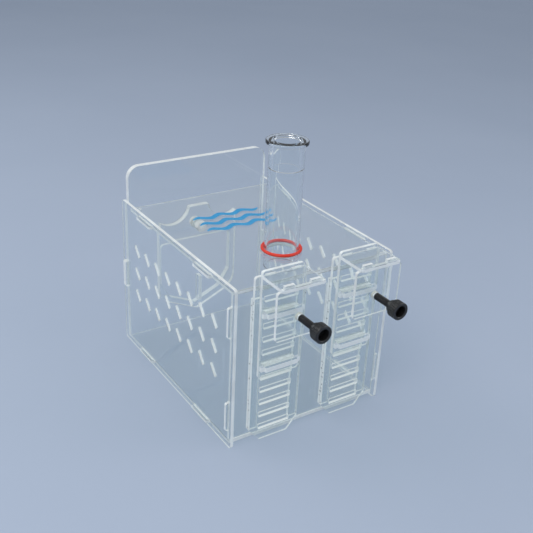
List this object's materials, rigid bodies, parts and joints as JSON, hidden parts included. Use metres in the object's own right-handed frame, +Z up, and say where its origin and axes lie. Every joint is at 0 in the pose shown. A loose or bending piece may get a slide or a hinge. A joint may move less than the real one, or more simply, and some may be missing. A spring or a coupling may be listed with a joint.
{
  "type": "aquarium fish trap",
  "caption": "Clear acrylic fish trap box with a swinging gate, a feeding tube, slotted ladders and two hangers whose thumb screws clamp on a tank's rim.",
  "frame": {"origin": "middle of the whole object seen from above, on the surface that the box stands on", "axes": "+Z up, +Y from the hangers towards the gate at the back, +X to the right seen from the hangers"},
  "size_m": [0.162, 0.2706, 0.244],
  "materials": {
    "clear_acrylic_sheet": "clear, flame-free laser-cut edges",
    "clear_acrylic_tube": "clear, polished",
    "white_nylon": "satin",
    "black_moulded_plastic": "satin moulded",
    "black_nylon": "satin",
    "pale_soft_pad": "soft, matt",
    "red_silicone": "soft sheen"
  },
  "bodies": {
    "box": {"side_panel_left": "clear_acrylic_sheet", "side_panel_right": "clear_acrylic_sheet", "lid": "clear_acrylic_sheet", "bottom_panel": "clear_acrylic_sheet", "front_panel": "clear_acrylic_sheet", "back_panel": "clear_acrylic_sheet", "pivot_screw": "white_nylon", "pivot_nut": "white_nylon", "pivot_washer_rear": "white_nylon", "pivot_washer_front": "white_nylon", "ladder_plate_left": "clear_acrylic_sheet", "ladder_spacer_left_outer": "clear_acrylic_sheet", "ladder_spacer_left_inner": "clear_acrylic_sheet", "ladder_plate_right": "clear_acrylic_sheet", "ladder_spacer_right_outer": "clear_acrylic_sheet", "ladder_spacer_right_inner": "clear_acrylic_sheet"},
    "gate": {"swing_gate": "clear_acrylic_sheet", "gate_weight": "clear_acrylic_sheet"},
    "ring": {"o_ring": "red_silicone"},
    "tube": {"feeding_tube": "clear_acrylic_tube", "tube_flange": "clear_acrylic_tube", "tube_sleeve": "clear_acrylic_tube"},
    "hanger_left": {"hanger_back_left": "clear_acrylic_sheet", "hanger_bridge_left": "clear_acrylic_sheet", "clamp_plate_left": "clear_acrylic_sheet"},
    "key_upper_left": {"key_upper_left": "clear_acrylic_sheet"},
    "key_lower_left": {"key_lower_left": "clear_acrylic_sheet"},
    "pad_left": {"screw_pad_left": "pale_soft_pad"},
    "screw_left": {"screw_shaft_left": "black_nylon", "screw_knob_left": "black_moulded_plastic"},
    "hanger_right": {"hanger_back_right": "clear_acrylic_sheet", "hanger_bridge_right": "clear_acrylic_sheet", "clamp_plate_right": "clear_acrylic_sheet"},
    "key_upper_right": {"key_upper_right": "clear_acrylic_sheet"},
    "key_lower_right": {"key_lower_right": "clear_acrylic_sheet"},
    "pad_right": {"screw_pad_right": "pale_soft_pad"},
    "screw_right": {"screw_shaft_right": "black_nylon", "screw_knob_right": "black_moulded_plastic"}
  },
  "joints": [
    {"name": "gate_swing", "type": "hinge", "parent": "box", "child": "gate", "pos_m": [-0.004, 0.12125, 0.1135], "axis": [0, 1, 0], "range_deg": [-44, 31]},
    {"name": "ring_lift", "type": "slide", "parent": "box", "child": "ring", "axis": [0, 0, 1], "range_m": [0, 0.12]},
    {"name": "tube_adjust", "type": "slide", "parent": "ring", "child": "tube", "axis": [0, 0, 1], "range_m": [-0.09, 0.015]},
    {"name": "hanger_pull_left", "type": "slide", "parent": "box", "child": "hanger_left", "axis": [0, -1, 0], "range_m": [0, 0.03]},
    {"name": "key_pull_upper_left", "type": "slide", "parent": "hanger_left", "child": "key_upper_left", "axis": [0, -1, 0], "range_m": [0, 0.0125]},
    {"name": "key_pull_lower_left", "type": "slide", "parent": "hanger_left", "child": "key_lower_left", "axis": [0, -1, 0], "range_m": [0, 0.0125]},
    {"name": "clamp_travel_left", "type": "slide", "parent": "hanger_left", "child": "pad_left", "axis": [0, 1, 0], "range_m": [0, 0.0151]},
    {"name": "screw_turn_left", "type": "hinge", "parent": "pad_left", "child": "screw_left", "pos_m": [-0.03725, -0.12475, 0.1312], "axis": [0, 1, 0], "range_deg": [0, 5400]},
    {"name": "hanger_pull_right", "type": "slide", "parent": "box", "child": "hanger_right", "axis": [0, -1, 0], "range_m": [0, 0.03]},
    {"name": "key_pull_upper_right", "type": "slide", "parent": "hanger_right", "child": "key_upper_right", "axis": [0, -1, 0], "range_m": [0, 0.0125]},
    {"name": "key_pull_lower_right", "type": "slide", "parent": "hanger_right", "child": "key_lower_right", "axis": [0, -1, 0], "range_m": [0, 0.0125]},
    {"name": "clamp_travel_right", "type": "slide", "parent": "hanger_right", "child": "pad_right", "axis": [0, 1, 0], "range_m": [0, 0.0151]},
    {"name": "screw_turn_right", "type": "hinge", "parent": "pad_right", "child": "screw_right", "pos_m": [0.03725, -0.12475, 0.1312], "axis": [0, 1, 0], "range_deg": [0, 5400]}
  ],
  "couplings": [
    {"joint": "clamp_travel_left", "follows": "screw_turn_left", "m_per_rad": 0.00015915},
    {"joint": "clamp_travel_right", "follows": "screw_turn_right", "m_per_rad": 0.00015915}
  ]
}
